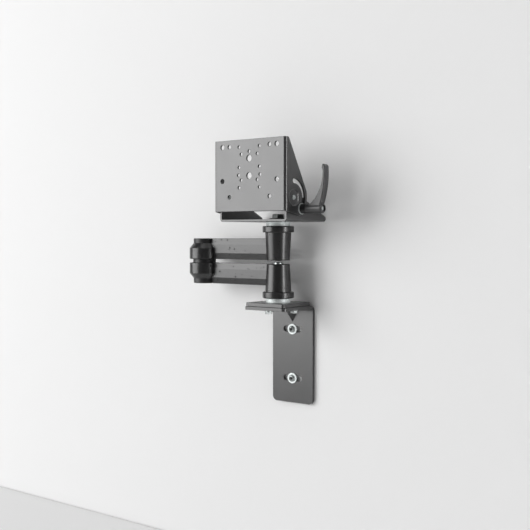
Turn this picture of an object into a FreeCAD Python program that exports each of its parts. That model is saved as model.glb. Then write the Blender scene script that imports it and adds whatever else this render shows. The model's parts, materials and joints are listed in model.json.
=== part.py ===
"""Folding wall mount with two cast swing arms and a tilting device plate.

The frame has its origin on the wall, midway between the two wall slots. +Z is up, +X is to the right as
seen from the room, and the room lies on the -Y side of the wall. All sizes are in millimetres.
"""

import FreeCAD
import Part
import Sketcher
import math
import os

# Driving sizes of the mount, grouped by piece
DIMENSIONS = {
    # Folded steel angle on the wall
    "wall_width": 77,
    "wall_height": 155,
    "wall_gauge": 5,
    "flange_reach": 80,
    "wall_bend": 4,
    "wall_corner": 8,
    "flange_corner": 6,
    "slot_spacing": 77.6,
    "slot_length": 35,
    "slot_width": 9.5,
    "dart_leg": 22,
    "dart_half_width": 12,
    # Wall screws and their washers
    "wall_shank": 5.5,
    "wall_neck": 4.6,
    "wall_bite": 32,
    "wall_point": 6,
    "wall_head": 10.8,
    "wall_head_height": 3.2,
    "wall_head_rim": 1.2,
    "wall_head_dome": 8.3,
    "cross_span": 6.2,
    "cross_width": 1.7,
    "cross_depth": 2.2,
    "wall_washer": 16.4,
    "wall_washer_hole": 6.4,
    "wall_washer_thickness": 1.5,
    # Plate bolted on the flange
    "boss_reach": 43,
    "base_size": 72.5,
    "base_thickness": 6,
    "base_rim_round": 0.8,
    "base_corner": 4,
    "base_bolt": 6,
    "base_bolt_circle": 49,
    "base_bolt_flats": 10,
    "base_bolt_head": 4,
    "base_bolt_play": 0.3,
    "base_washer": 12,
    "base_washer_thickness": 1.6,
    # Pivots and the rings between the pieces that turn
    "pivot_bolt": 10,
    "journal_play": 0.05,
    "thrust_gap": 0.3,
    "countersink": 18.5,
    "spacer_diameter": 37.5,
    "spacer_height": 6.2,
    "pivot_flats": 17,
    "pivot_nut_height": 6.2,
    "lock_collar": 13.4,
    "lock_collar_height": 3.6,
    "bolt_end": 0.9,
    "hex_bevel": 1.1,
    # Cast arms
    "arm_length": 150,
    "arm_gap": 5.8,
    "boss_height": 52.35,
    "collar_diameter": 48.5,
    "collar_height": 9.6,
    "boss_wide": 40.4,
    "boss_narrow": 36,
    "boss_recess": 22,
    "boss_recess_depth": 7.2,
    "bar_width": 8.4,
    "bar_crown": 4.2,
    "bar_bevel": 9.8,
    "bar_root": 3.6,
    "hub_diameter": 48.8,
    "hub_barrel": 17.6,
    "hub_cone": 8.2,
    "hub_recess": 22,
    "hub_recess_depth": 8.4,
    "cast_round": 1.3,
    # Caps on the elbow
    "cap_diameter": 35.6,
    "cap_height": 7.8,
    "cap_round": 1.2,
    "cap_wall": 0.7,
    "cap_spigot": 2.6,
    "cap_play": 0.15,
    # Folded tray under the device plate
    "tray_gauge": 3,
    "tray_bend": 1.5,
    "tray_rear": 38,
    "tray_rear_round": 4,
    "tray_rear_height": 6.92,
    "cheek_round": 12.4,
    "pivot_reach": 52.2,
    "pivot_height": 34.4,
    "head_washer": 27,
    "head_washer_thickness": 2.5,
    "head_bolt_head": 6.4,
    # Folded tilting bracket
    "tilt_width": 134,
    "tilt_gauge": 3,
    "tilt_bend": 1.5,
    "plate_reach": 20.7,
    "plate_drop": 19.4,
    "plate_height": 106,
    "cheek_back": 32.2,
    "cheek_fall": 10,
    "cheek_knee": 8.8,
    "cheek_lean": 59.7,
    "cheek_top_round": 5,
    "cheek_knee_round": 12,
    "cheek_foot_round": 14,
    "dimple_mouth": 26,
    "dimple_floor": 21,
    "dimple_depth": 1.5,
    "cheek_gap": 0.3,
    "slot_radius": 24,
    "stud_angle": 42.3,
    "tilt_slot": 7,
    # Holes of the device plate
    "hole_rise": 45.6,
    "small_hole": 5,
    "long_pitch": 38,
    "short_pitch": 30,
    "ring_circle": 46.4,
    "cable_hole": 10,
    "cable_pitch": 25.5,
    "square_hole": 6.4,
    "square_pitch": 75,
    "square_rise": 39.3,
    "wide_hole": 7.6,
    "wide_pitch": 101.6,
    "wide_drop": 50.8,
    "wide_rise": 51.4,
    # Tilt pivots
    "tilt_screw": 6,
    "tilt_head": 7.3,
    "tilt_head_height": 1.7,
    "tilt_nut_flats": 10,
    "tilt_nut_height": 5,
    # Clamping lever with its toothed insert
    "stud": 6,
    "clamp_washer": 16.5,
    "clamp_washer_thickness": 1.5,
    "insert_collar": 14.5,
    "insert_collar_height": 9,
    "insert_body": 10.6,
    "insert_body_length": 9,
    "tooth_length": 3,
    "tooth_tip": 9.6,
    "tooth_notch": 0.9,
    "tooth_count": 12,
    "socket_play": 0.3,
    "lever_hub": 14.6,
    "lever_hub_length": 28.5,
    "lever_hub_round": 3.4,
    "lever_web": 2.6,
    "lever_recess": 9.4,
    "lever_screw": 4,
    "lever_screw_head": 8.4,
    "lever_screw_head_height": 3,
    "lever_key": 4,
    "lever_screw_bite": 9,
    "spring_space": 8.6,
    "spring_wire": 0.7,
    "spring_turns": 5,
    "lever_rise": 58,
    "lever_tip": 5.4,
    "lever_lean": 5,
    "lever_inset": 4.7,
    "lever_thickness": 12,
    "lever_back_bow": 137,
    "lever_back_round": 1.6,
    "lever_nose": 4.8,
    "lever_neck": 3.4,
    "lever_neck_rise": 50,
    "lever_finger_bow": 12,
    "lever_web_bow": 55,
    "lever_web_foot": 19.3,
}

UP = FreeCAD.Vector(0, 0, 1)
ACROSS = FreeCAD.Vector(1, 0, 0)
HALF_TURN = FreeCAD.Rotation(ACROSS, 180)
FACING_ROOM = FreeCAD.Rotation(ACROSS, 90)
SAME_PLACE = 0.01

document = FreeCAD.newDocument("wall_mount")
dims = document.addObject("Spreadsheet::Sheet", "dims")
for row, (alias, size) in enumerate(DIMENSIONS.items(), 1):
    dims.set(f"A{row}", alias)
    dims.set(f"B{row}", str(size))
    dims.setAlias(f"B{row}", alias)
document.recompute()

# Heights and places that several pieces share, as expressions of the sheet
FLANGE_TOP = "dims.wall_height / 2"
BOSS_Y = "-dims.boss_reach"
BASE_TOP = f"({FLANGE_TOP} + dims.base_thickness)"
LOWER_FOOT = f"({BASE_TOP} + dims.spacer_height + dims.thrust_gap)"
LOWER_END = f"({LOWER_FOOT} + dims.boss_height)"
UPPER_END = f"({LOWER_END} + dims.arm_gap)"
UPPER_FOOT = f"({UPPER_END} + dims.boss_height)"
TRAY_UNDERSIDE = f"({UPPER_FOOT} + dims.thrust_gap + dims.spacer_height)"
PIVOT_Y = "-(dims.boss_reach + dims.pivot_reach)"
PIVOT_Z = f"({TRAY_UNDERSIDE} + dims.pivot_height)"
STUD_BACK = "dims.slot_radius * cos(dims.stud_angle)"
STUD_DOWN = "dims.slot_radius * sin(dims.stud_angle)"
STUD_Y = f"({PIVOT_Y} + {STUD_BACK})"
STUD_Z = f"({PIVOT_Z} - {STUD_DOWN})"

JOURNAL = "(dims.pivot_bolt + 2 * dims.journal_play)"
BAR_HEIGHT = "(dims.hub_barrel + dims.hub_cone + dims.cap_height)"
CAP_SEAT = "(dims.boss_height - dims.hub_barrel - dims.hub_cone)"
HUB_FLOOR = f"({CAP_SEAT} + dims.hub_recess_depth)"

TILT_HALF = "dims.tilt_width / 2"
TRAY_HALF = "(dims.tilt_width / 2 - dims.tilt_gauge - dims.dimple_depth - dims.cheek_gap)"
TRAY_INSIDE = f"({TRAY_HALF} - dims.tray_gauge)"
TRAY_FRONT = "(dims.pivot_reach + dims.cheek_round)"
PLATE_TOP = "(dims.plate_height - dims.plate_drop)"

WASHER_INNER = f"({TILT_HALF} + dims.thrust_gap)"
WASHER_OUTER = f"({WASHER_INNER} + dims.clamp_washer_thickness)"
TOOTH_START = f"({WASHER_OUTER} + dims.insert_collar_height + dims.insert_body_length)"
INSERT_END = f"({TOOTH_START} + dims.tooth_length)"
WEB_INNER = f"({INSERT_END} + dims.thrust_gap)"
WEB_OUTER = f"({WEB_INNER} + dims.lever_web)"
HEAD_INNER = f"({WEB_OUTER} + dims.spring_space)"
HUB_START = f"({WASHER_OUTER} + dims.insert_collar_height + dims.thrust_gap)"
HUB_END = f"({HUB_START} + dims.lever_hub_length)"


def value(expression):
    """Return the number that an expression of the sheet stands for."""
    return float(dims.evalExpression(expression))


def new_body(name, x="0", y="0", z="0", rotation=None):
    """Start a named piece at a place given by expressions."""
    body = document.addObject("PartDesign::Body", name)
    body.Label = name
    if rotation is not None:
        body.Placement = FreeCAD.Placement(FreeCAD.Vector(), rotation)
    for axis, expression in zip("xyz", (x, y, z)):
        body.setExpression(f"Placement.Base.{axis}", expression)
    return body


def origin_feature(body, role):
    """Return one of the body's own origin planes or axes."""
    return next(item for item in body.Origin.OriginFeatures if item.Role == role)


def new_sketch(body, name, role, lift=None, shift=None):
    """Start a sketch on an origin plane, lifted along its normal or shifted along its first axis."""
    sketch = body.newObject("Sketcher::SketchObject", name)
    sketch.AttachmentSupport = [(origin_feature(body, role), "")]
    sketch.MapMode = "FlatFace"
    if lift is not None:
        sketch.setExpression("AttachmentOffset.Base.z", lift)
    if shift is not None:
        sketch.setExpression("AttachmentOffset.Base.x", shift)
    return sketch


def bind(sketch, kind, references, expression):
    """Add a sketch dimension that follows an expression of the sheet."""
    index = sketch.addConstraint(Sketcher.Constraint(kind, *references, value(expression)))
    name = f"{kind.lower()}_{index}"
    sketch.renameConstraint(index, name)
    sketch.setExpression(f"Constraints.{name}", expression)


def arc_between(start, end, radius, turn):
    """Return the short arc from start to end that turns left or right on its way."""
    chord = end - start
    middle = (start + end) / 2
    side = FreeCAD.Vector(-chord.y, chord.x, 0).normalize()
    rise = math.sqrt(radius ** 2 - (chord.Length / 2) ** 2)
    centre = middle + side * (rise if turn == "left" else -rise)
    first, last = (start, end) if turn == "left" else (end, start)
    first_angle = math.atan2(first.y - centre.y, first.x - centre.x)
    last_angle = math.atan2(last.y - centre.y, last.x - centre.x)
    if last_angle < first_angle:
        last_angle += 2 * math.pi
    return Part.ArcOfCircle(Part.Circle(centre, UP, radius), first_angle, last_angle)


def add_outline(sketch, points):
    """Draw a closed outline whose corners follow expressions.

    A point (x, y) starts a straight stretch. A point (x, y, turn, radius) starts an arc to the next point.
    """
    places = [FreeCAD.Vector(value(point[0]), value(point[1]), 0) for point in points]
    starts = []
    ends = []
    for index, point in enumerate(points):
        here = places[index]
        there = places[(index + 1) % len(points)]
        if len(point) == 2:
            geometry = sketch.addGeometry(Part.LineSegment(here, there), False)
            forward = True
        else:
            turn, radius = point[2], point[3]
            geometry = sketch.addGeometry(arc_between(here, there, value(radius), turn), False)
            forward = turn == "left"
        starts.append((geometry, 1 if forward else 2))
        ends.append((geometry, 2 if forward else 1))
    for index, point in enumerate(points):
        following = starts[(index + 1) % len(points)]
        sketch.addConstraint(Sketcher.Constraint("Coincident", *ends[index], *following))
        bind(sketch, "DistanceX", (-1, 1, *starts[index]), point[0])
        bind(sketch, "DistanceY", (-1, 1, *starts[index]), point[1])
        if len(point) > 2:
            bind(sketch, "Radius", (starts[index][0],), point[3])


def add_circle(sketch, x, y, diameter):
    """Draw a circle whose centre and diameter follow expressions."""
    centre = FreeCAD.Vector(value(x), value(y), 0)
    geometry = sketch.addGeometry(Part.Circle(centre, UP, value(diameter) / 2), False)
    bind(sketch, "DistanceX", (-1, 1, geometry, 3), x)
    bind(sketch, "DistanceY", (-1, 1, geometry, 3), y)
    bind(sketch, "Diameter", (geometry,), diameter)


def add_hexagon(sketch, flats, x="0", y="0"):
    """Draw a hexagon with two flats facing the sketch's second axis."""
    corner = f"({flats}) / sqrt(3)"
    half_corner = f"({flats}) / sqrt(3) / 2"
    half_flat = f"({flats}) / 2"
    add_outline(sketch, [
        (f"{x} + {corner}", y),
        (f"{x} + {half_corner}", f"{y} + {half_flat}"),
        (f"{x} - {half_corner}", f"{y} + {half_flat}"),
        (f"{x} - {corner}", y),
        (f"{x} - {half_corner}", f"{y} - {half_flat}"),
        (f"{x} + {half_corner}", f"{y} - {half_flat}"),
    ])


def add_feature(body, kind, name, sketch):
    """Add a sketch-based feature to the body and return it."""
    feature = body.newObject(f"PartDesign::{kind}", name)
    feature.Profile = sketch
    return feature


def pad(body, name, sketch, length, symmetric=False, backwards=False):
    """Thicken a sketch into solid material."""
    feature = add_feature(body, "Pad", name, sketch)
    feature.setExpression("Length", length)
    feature.SideType = "Symmetric" if symmetric else "One side"
    feature.Reversed = backwards
    document.recompute()
    return feature


def pocket(body, name, sketch, length, symmetric=False, backwards=False):
    """Cut a sketch out of the body and make sure that it cut something."""
    before = body.Shape.Volume
    feature = add_feature(body, "Pocket", name, sketch)
    feature.setExpression("Length", length)
    feature.SideType = "Symmetric" if symmetric else "One side"
    feature.Reversed = backwards
    document.recompute()
    require_cut(name, before, body.Shape.Volume)
    return feature


def revolve(body, name, sketch, axis="V_Axis"):
    """Turn a sketch about one of its own axes into solid material."""
    feature = add_feature(body, "Revolution", name, sketch)
    feature.ReferenceAxis = (sketch, [axis])
    feature.Angle = 360
    document.recompute()
    return feature


def groove(body, name, sketch, axis="V_Axis", sweep=None, backwards=False):
    """Turn a sketch about one of its own axes and cut it out of the body."""
    before = body.Shape.Volume
    feature = add_feature(body, "Groove", name, sketch)
    feature.ReferenceAxis = (sketch, [axis])
    feature.Angle = 360
    if sweep is not None:
        feature.setExpression("Angle", sweep)
    feature.Reversed = backwards
    document.recompute()
    require_cut(name, before, body.Shape.Volume)
    return feature


def require_cut(name, before, after):
    """Stop if a cut took no material away."""
    if after >= before:
        raise RuntimeError(f"{name} cuts nothing")


def edges_at(feature, x=None, y=None, z=None):
    """Return the names of the edges that lie wholly at the given places."""
    wanted = {axis: place for axis, place in (("x", x), ("y", y), ("z", z)) if place is not None}
    names = []
    for number, edge in enumerate(feature.Shape.Edges, 1):
        ends = [vertex.Point for vertex in edge.Vertexes]
        if all(abs(getattr(end, axis) - place) < SAME_PLACE for end in ends for axis, place in wanted.items()):
            names.append(f"Edge{number}")
    return names


def fillet(body, name, base, edges, radius):
    """Round the named edges of a feature."""
    if not edges:
        raise RuntimeError(f"{name} finds no edge")
    feature = body.newObject("PartDesign::Fillet", name)
    feature.Base = (base, edges)
    feature.setExpression("Radius", radius)
    document.recompute()
    return feature


def repeat_in_line(body, name, originals, role, length):
    """Repeat features once more at a distance along an origin axis."""
    feature = body.newObject("PartDesign::LinearPattern", name)
    feature.Originals = originals
    feature.Direction = (origin_feature(body, role), [""])
    feature.setExpression("Length", length)
    feature.Occurrences = 2
    body.Tip = feature
    document.recompute()


def repeat_round(body, name, originals, role, count):
    """Repeat features evenly round an origin axis."""
    feature = body.newObject("PartDesign::PolarPattern", name)
    feature.Originals = originals
    feature.Axis = (origin_feature(body, role), [""])
    feature.Angle = 360
    feature.setExpression("Occurrences", count)
    body.Tip = feature
    document.recompute()


def mirror(body, name, originals, role):
    """Repeat features on the other side of an origin plane."""
    feature = body.newObject("PartDesign::Mirrored", name)
    feature.Originals = originals
    feature.MirrorPlane = (origin_feature(body, role), [""])
    body.Tip = feature
    document.recompute()


def bevel_hexagon(body, name, flats, face, rise, shift=None):
    """Turn the corners off one face of a hexagon whose axis is upright; rise is +1 on top and -1 below."""
    sketch = new_sketch(body, f"{name}_sketch", "XZ_Plane", shift=shift)
    inner = f"({flats}) / 2"
    outer = f"({flats}) / sqrt(3) + dims.hex_bevel"
    drop = f"({outer} - {inner}) / sqrt(3)"
    add_outline(sketch, [
        (inner, face),
        (outer, f"{face} - {rise} * ({drop})"),
        (outer, f"{face} + {rise} * dims.hex_bevel"),
        (inner, f"{face} + {rise} * dims.hex_bevel"),
    ])
    return groove(body, name, sketch)


def make_wall_bracket():
    """Folded angle: slotted wall plate, flange with bolt holes and a pressed dart that stiffens the bend."""
    body = new_body("wall_bracket")
    low = "-dims.wall_height / 2"
    inner_z = f"({FLANGE_TOP} - dims.wall_gauge)"
    side = new_sketch(body, "wall_side", "YZ_Plane")
    add_outline(side, [
        ("0", low),
        ("0", FLANGE_TOP),
        ("-dims.flange_reach", FLANGE_TOP),
        ("-dims.flange_reach", inner_z),
        ("-dims.wall_gauge", inner_z),
        ("-dims.wall_gauge", low),
    ])
    angle = pad(body, "wall_angle", side, "dims.wall_width", symmetric=True)
    outer_edge = edges_at(angle, y=0, z=value(FLANGE_TOP))
    outer = fillet(body, "bend_outside", angle, outer_edge, "dims.wall_bend + dims.wall_gauge")
    inner_edge = edges_at(outer, y=-value("dims.wall_gauge"), z=value(inner_z))
    bend = fillet(body, "bend_inside", outer, inner_edge, "dims.wall_bend")
    half = value("dims.wall_width / 2")
    foot_edges = edges_at(bend, x=half, z=value(low)) + edges_at(bend, x=-half, z=value(low))
    foot = fillet(body, "plate_corners", bend, foot_edges, "dims.wall_corner")
    front = -value("dims.flange_reach")
    front_edges = edges_at(foot, x=half, y=front) + edges_at(foot, x=-half, y=front)
    fillet(body, "flange_corners", foot, front_edges, "dims.flange_corner")
    add_dart(body, inner_z)

    slots = new_sketch(body, "slot_middles", "XZ_Plane")
    ends = new_sketch(body, "slot_ends", "XZ_Plane")
    straight = "(dims.slot_length - dims.slot_width) / 2"
    for side_sign in ("-", ""):
        height = f"{side_sign}dims.slot_spacing / 2"
        add_outline(slots, [
            (f"-{straight}", f"{height} - dims.slot_width / 2"),
            (straight, f"{height} - dims.slot_width / 2"),
            (straight, f"{height} + dims.slot_width / 2"),
            (f"-{straight}", f"{height} + dims.slot_width / 2"),
        ])
        add_circle(ends, straight, height, "dims.slot_width")
        add_circle(ends, f"-{straight}", height, "dims.slot_width")
    pocket(body, "slots", slots, "4 * dims.wall_gauge", symmetric=True)
    pocket(body, "slot_rounds", ends, "4 * dims.wall_gauge", symmetric=True)

    holes = new_sketch(body, "flange_holes_sketch", "XY_Plane", lift=FLANGE_TOP)
    for angle_deg in (-90, 30, 150):
        add_circle(
            holes,
            f"dims.base_bolt_circle / 2 * cos({angle_deg})",
            f"{BOSS_Y} + dims.base_bolt_circle / 2 * sin({angle_deg})",
            "dims.base_bolt + 2 * dims.base_bolt_play",
        )
    pocket(body, "flange_holes", holes, "2 * dims.wall_gauge")


def add_dart(body, inner_z):
    """Press a three-sided rib into the bend: a ridge inside and a matching groove outside."""
    sliver = "dims.wall_gauge / 10"
    bury = "dims.wall_bend / 2"
    groove_leg = "(dims.dart_leg + (2 - sqrt(2)) * dims.wall_gauge)"
    groove_width = "(dims.dart_half_width - dims.wall_gauge / 2)"

    def section(name, place, inner_corner, corner_y, corner_z, leg):
        sketch = new_sketch(body, name, "YZ_Plane", lift=place)
        y = f"({corner_y})"
        z = f"({corner_z})"
        reach = f"({inner_corner} + {leg})"
        add_outline(sketch, [
            (f"{y} + {inner_corner}", f"{z} + {inner_corner}"),
            (f"{y} - {reach}", f"{z} + {inner_corner}"),
            (f"{y} + {inner_corner}", f"{z} - {reach}"),
        ])
        return sketch

    inner_y = "-dims.wall_gauge"
    ridge = [
        section("ridge_left", "-dims.dart_half_width", bury, inner_y, inner_z, sliver),
        section("ridge_middle", "0", bury, inner_y, inner_z, "dims.dart_leg"),
        section("ridge_right", "dims.dart_half_width", bury, inner_y, inner_z, sliver),
    ]
    rib = add_feature(body, "AdditiveLoft", "dart_ridge", ridge[0])
    rib.Sections = ridge[1:]
    rib.Ruled = True
    document.recompute()
    before = body.Shape.Volume
    hollow = [
        section("groove_left", f"-{groove_width}", bury, "0", FLANGE_TOP, sliver),
        section("groove_middle", "0", bury, "0", FLANGE_TOP, groove_leg),
        section("groove_right", groove_width, bury, "0", FLANGE_TOP, sliver),
    ]
    dent = add_feature(body, "SubtractiveLoft", "dart_groove", hollow[0])
    dent.Sections = hollow[1:]
    dent.Ruled = True
    document.recompute()
    require_cut("dart_groove", before, body.Shape.Volume)


def make_wall_screws():
    """Two pan-head screws with cross recesses, each in the middle of its slot."""
    body = new_body("wall_screws", rotation=FACING_ROOM)
    half_spacing = "dims.slot_spacing / 2"
    seat = "(dims.wall_gauge + dims.wall_washer_thickness)"
    top = f"({seat} + dims.wall_head_height)"
    half = new_sketch(body, "screw_half", "XZ_Plane", lift=half_spacing)
    add_outline(half, [
        ("0", "-dims.wall_bite"),
        ("dims.wall_shank / 2", "dims.wall_point - dims.wall_bite"),
        ("dims.wall_shank / 2", "0"),
        ("dims.wall_neck / 2", "0"),
        ("dims.wall_neck / 2", seat),
        ("dims.wall_head / 2", seat),
        ("dims.wall_head / 2", f"{seat} + dims.wall_head_rim", "left", "dims.wall_head_dome"),
        ("0", top),
    ])
    screw = revolve(body, "screw", half)
    cross = new_sketch(body, "cross_outline", "XY_Plane", lift=top)
    arm = "dims.cross_span / 2"
    slim = "dims.cross_width / 2"
    middle = f"-{half_spacing}"
    add_outline(cross, [
        (slim, f"{middle} - {arm}"),
        (slim, f"{middle} - {slim}"),
        (arm, f"{middle} - {slim}"),
        (arm, f"{middle} + {slim}"),
        (slim, f"{middle} + {slim}"),
        (slim, f"{middle} + {arm}"),
        (f"-{slim}", f"{middle} + {arm}"),
        (f"-{slim}", f"{middle} + {slim}"),
        (f"-{arm}", f"{middle} + {slim}"),
        (f"-{arm}", f"{middle} - {slim}"),
        (f"-{slim}", f"{middle} - {slim}"),
        (f"-{slim}", f"{middle} - {arm}"),
    ])
    recess = pocket(body, "cross_recess", cross, "dims.cross_depth")
    repeat_in_line(body, "screw_pair", [screw, recess], "Y_Axis", "dims.slot_spacing")


def make_wall_washers():
    """Plain washers that bridge the two wall slots."""
    body = new_body("wall_washers", rotation=FACING_ROOM)
    ring = new_sketch(body, "washer_ring", "XY_Plane", lift="dims.wall_gauge")
    middle = "-dims.slot_spacing / 2"
    add_circle(ring, "0", middle, "dims.wall_washer")
    add_circle(ring, "0", middle, "dims.wall_washer_hole")
    washer = pad(body, "washer", ring, "dims.wall_washer_thickness")
    repeat_in_line(body, "washer_pair", [washer], "Y_Axis", "dims.slot_spacing")


def make_base_plate():
    """Square plate on the flange, tapped for its bolts and countersunk below for the pivot bolt."""
    body = new_body("base_plate", y=BOSS_Y, z=FLANGE_TOP)
    half = "dims.base_size / 2"
    square = new_sketch(body, "base_square", "XY_Plane")
    add_outline(square, [(f"-{half}", f"-{half}"), (half, f"-{half}"), (half, half), (f"-{half}", half)])
    plate = pad(body, "base_block", square, "dims.base_thickness")
    side = value(half)
    corner_edges = [name for x in (side, -side) for y in (side, -side) for name in edges_at(plate, x=x, y=y)]
    corners = fillet(body, "base_corners", plate, corner_edges, "dims.base_corner")
    rim_edges = edges_at(corners, z=0) + edges_at(corners, z=value("dims.base_thickness"))
    fillet(body, "base_rims", corners, rim_edges, "dims.base_rim_round")
    holes = new_sketch(body, "base_holes_sketch", "XY_Plane", lift="dims.base_thickness")
    for angle in (-90, 30, 150):
        x = f"dims.base_bolt_circle / 2 * cos({angle})"
        y = f"dims.base_bolt_circle / 2 * sin({angle})"
        add_circle(holes, x, y, "dims.base_bolt")
    pocket(body, "base_holes", holes, "2 * dims.base_thickness")
    sink = new_sketch(body, "sink_half", "XZ_Plane")
    add_outline(sink, [
        ("0", "0"),
        ("dims.countersink / 2", "0"),
        ("dims.pivot_bolt / 2", "(dims.countersink - dims.pivot_bolt) / 2"),
        ("dims.pivot_bolt / 2", "dims.base_thickness"),
        ("0", "dims.base_thickness"),
    ])
    groove(body, "pivot_sink", sink)


def make_base_bolts():
    """Three hexagon bolts that hold the base plate from below the flange."""
    seat = "-(dims.wall_gauge + dims.base_washer_thickness)"
    body = new_body("base_bolts", y=BOSS_Y, z=FLANGE_TOP)
    place = "-dims.base_bolt_circle / 2"
    hexagon = new_sketch(body, "head_hexagon", "XY_Plane", lift=seat)
    add_hexagon(hexagon, "dims.base_bolt_flats", y=place)
    head = pad(body, "head", hexagon, "dims.base_bolt_head", backwards=True)
    shank_circle = new_sketch(body, "shank_circle", "XY_Plane", lift=seat)
    add_circle(shank_circle, "0", place, "dims.base_bolt")
    reach = "dims.wall_gauge + dims.base_washer_thickness + dims.base_thickness"
    shank = pad(body, "shank", shank_circle, reach)
    repeat_round(body, "bolt_set", [head, shank], "Z_Axis", "3")


def make_base_bolt_washers():
    """Washers under the heads of the three base bolts."""
    body = new_body("base_bolt_washers", y=BOSS_Y, z=f"{FLANGE_TOP} - dims.wall_gauge")
    ring = new_sketch(body, "washer_ring", "XY_Plane")
    place = "-dims.base_bolt_circle / 2"
    add_circle(ring, "0", place, "dims.base_washer")
    add_circle(ring, "0", place, "dims.base_bolt")
    washer = pad(body, "washer", ring, "dims.base_washer_thickness", backwards=True)
    repeat_round(body, "washer_set", [washer], "Z_Axis", "3")


def make_ring(name, x, z, outside, inside, height):
    """Plain ring on an upright pivot."""
    body = new_body(name, x=x, y=BOSS_Y, z=z)
    circles = new_sketch(body, "ring_circles", "XY_Plane")
    add_circle(circles, "0", "0", outside)
    add_circle(circles, "0", "0", inside)
    pad(body, "ring", circles, height)


def make_lower_pivot_bolt():
    """Countersunk bolt that stands up from the base plate as the lower pivot."""
    body = new_body("lower_pivot_bolt", y=BOSS_Y, z=FLANGE_TOP)
    nut_height = "dims.pivot_nut_height + dims.lock_collar_height"
    top = f"{LOWER_END} - dims.boss_recess_depth + dims.thrust_gap + {nut_height} - ({FLANGE_TOP})"
    half = new_sketch(body, "bolt_half", "XZ_Plane")
    add_outline(half, [
        ("0", "0"),
        ("dims.countersink / 2", "0"),
        ("dims.pivot_bolt / 2", "(dims.countersink - dims.pivot_bolt) / 2"),
        ("dims.pivot_bolt / 2", f"{top} - dims.hex_bevel"),
        ("dims.pivot_bolt / 2 - dims.hex_bevel", top),
        ("0", top),
    ])
    revolve(body, "bolt", half)


def make_lower_pivot_nut():
    """Lock nut in the end of the lower boss; its round collar stands out of the boss."""
    seat = f"{LOWER_END} - dims.boss_recess_depth + dims.thrust_gap"
    body = new_body("lower_pivot_nut", y=BOSS_Y, z=seat)
    hexagon = new_sketch(body, "nut_hexagon", "XY_Plane")
    add_hexagon(hexagon, "dims.pivot_flats")
    add_circle(hexagon, "0", "0", "dims.pivot_bolt")
    pad(body, "nut", hexagon, "dims.pivot_nut_height")
    bevel_hexagon(body, "nut_bevel", "dims.pivot_flats", "dims.pivot_nut_height", 1)
    collar = new_sketch(body, "collar_half", "XZ_Plane")
    top = "dims.pivot_nut_height + dims.lock_collar_height"
    add_outline(collar, [
        ("dims.pivot_bolt / 2", "dims.pivot_nut_height"),
        ("dims.lock_collar / 2", "dims.pivot_nut_height"),
        ("dims.lock_collar / 2", f"{top} - dims.hex_bevel", "left", "dims.hex_bevel"),
        ("dims.lock_collar / 2 - dims.hex_bevel", top),
        ("dims.pivot_bolt / 2", top),
    ])
    revolve(body, "lock_collar", collar)


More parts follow.
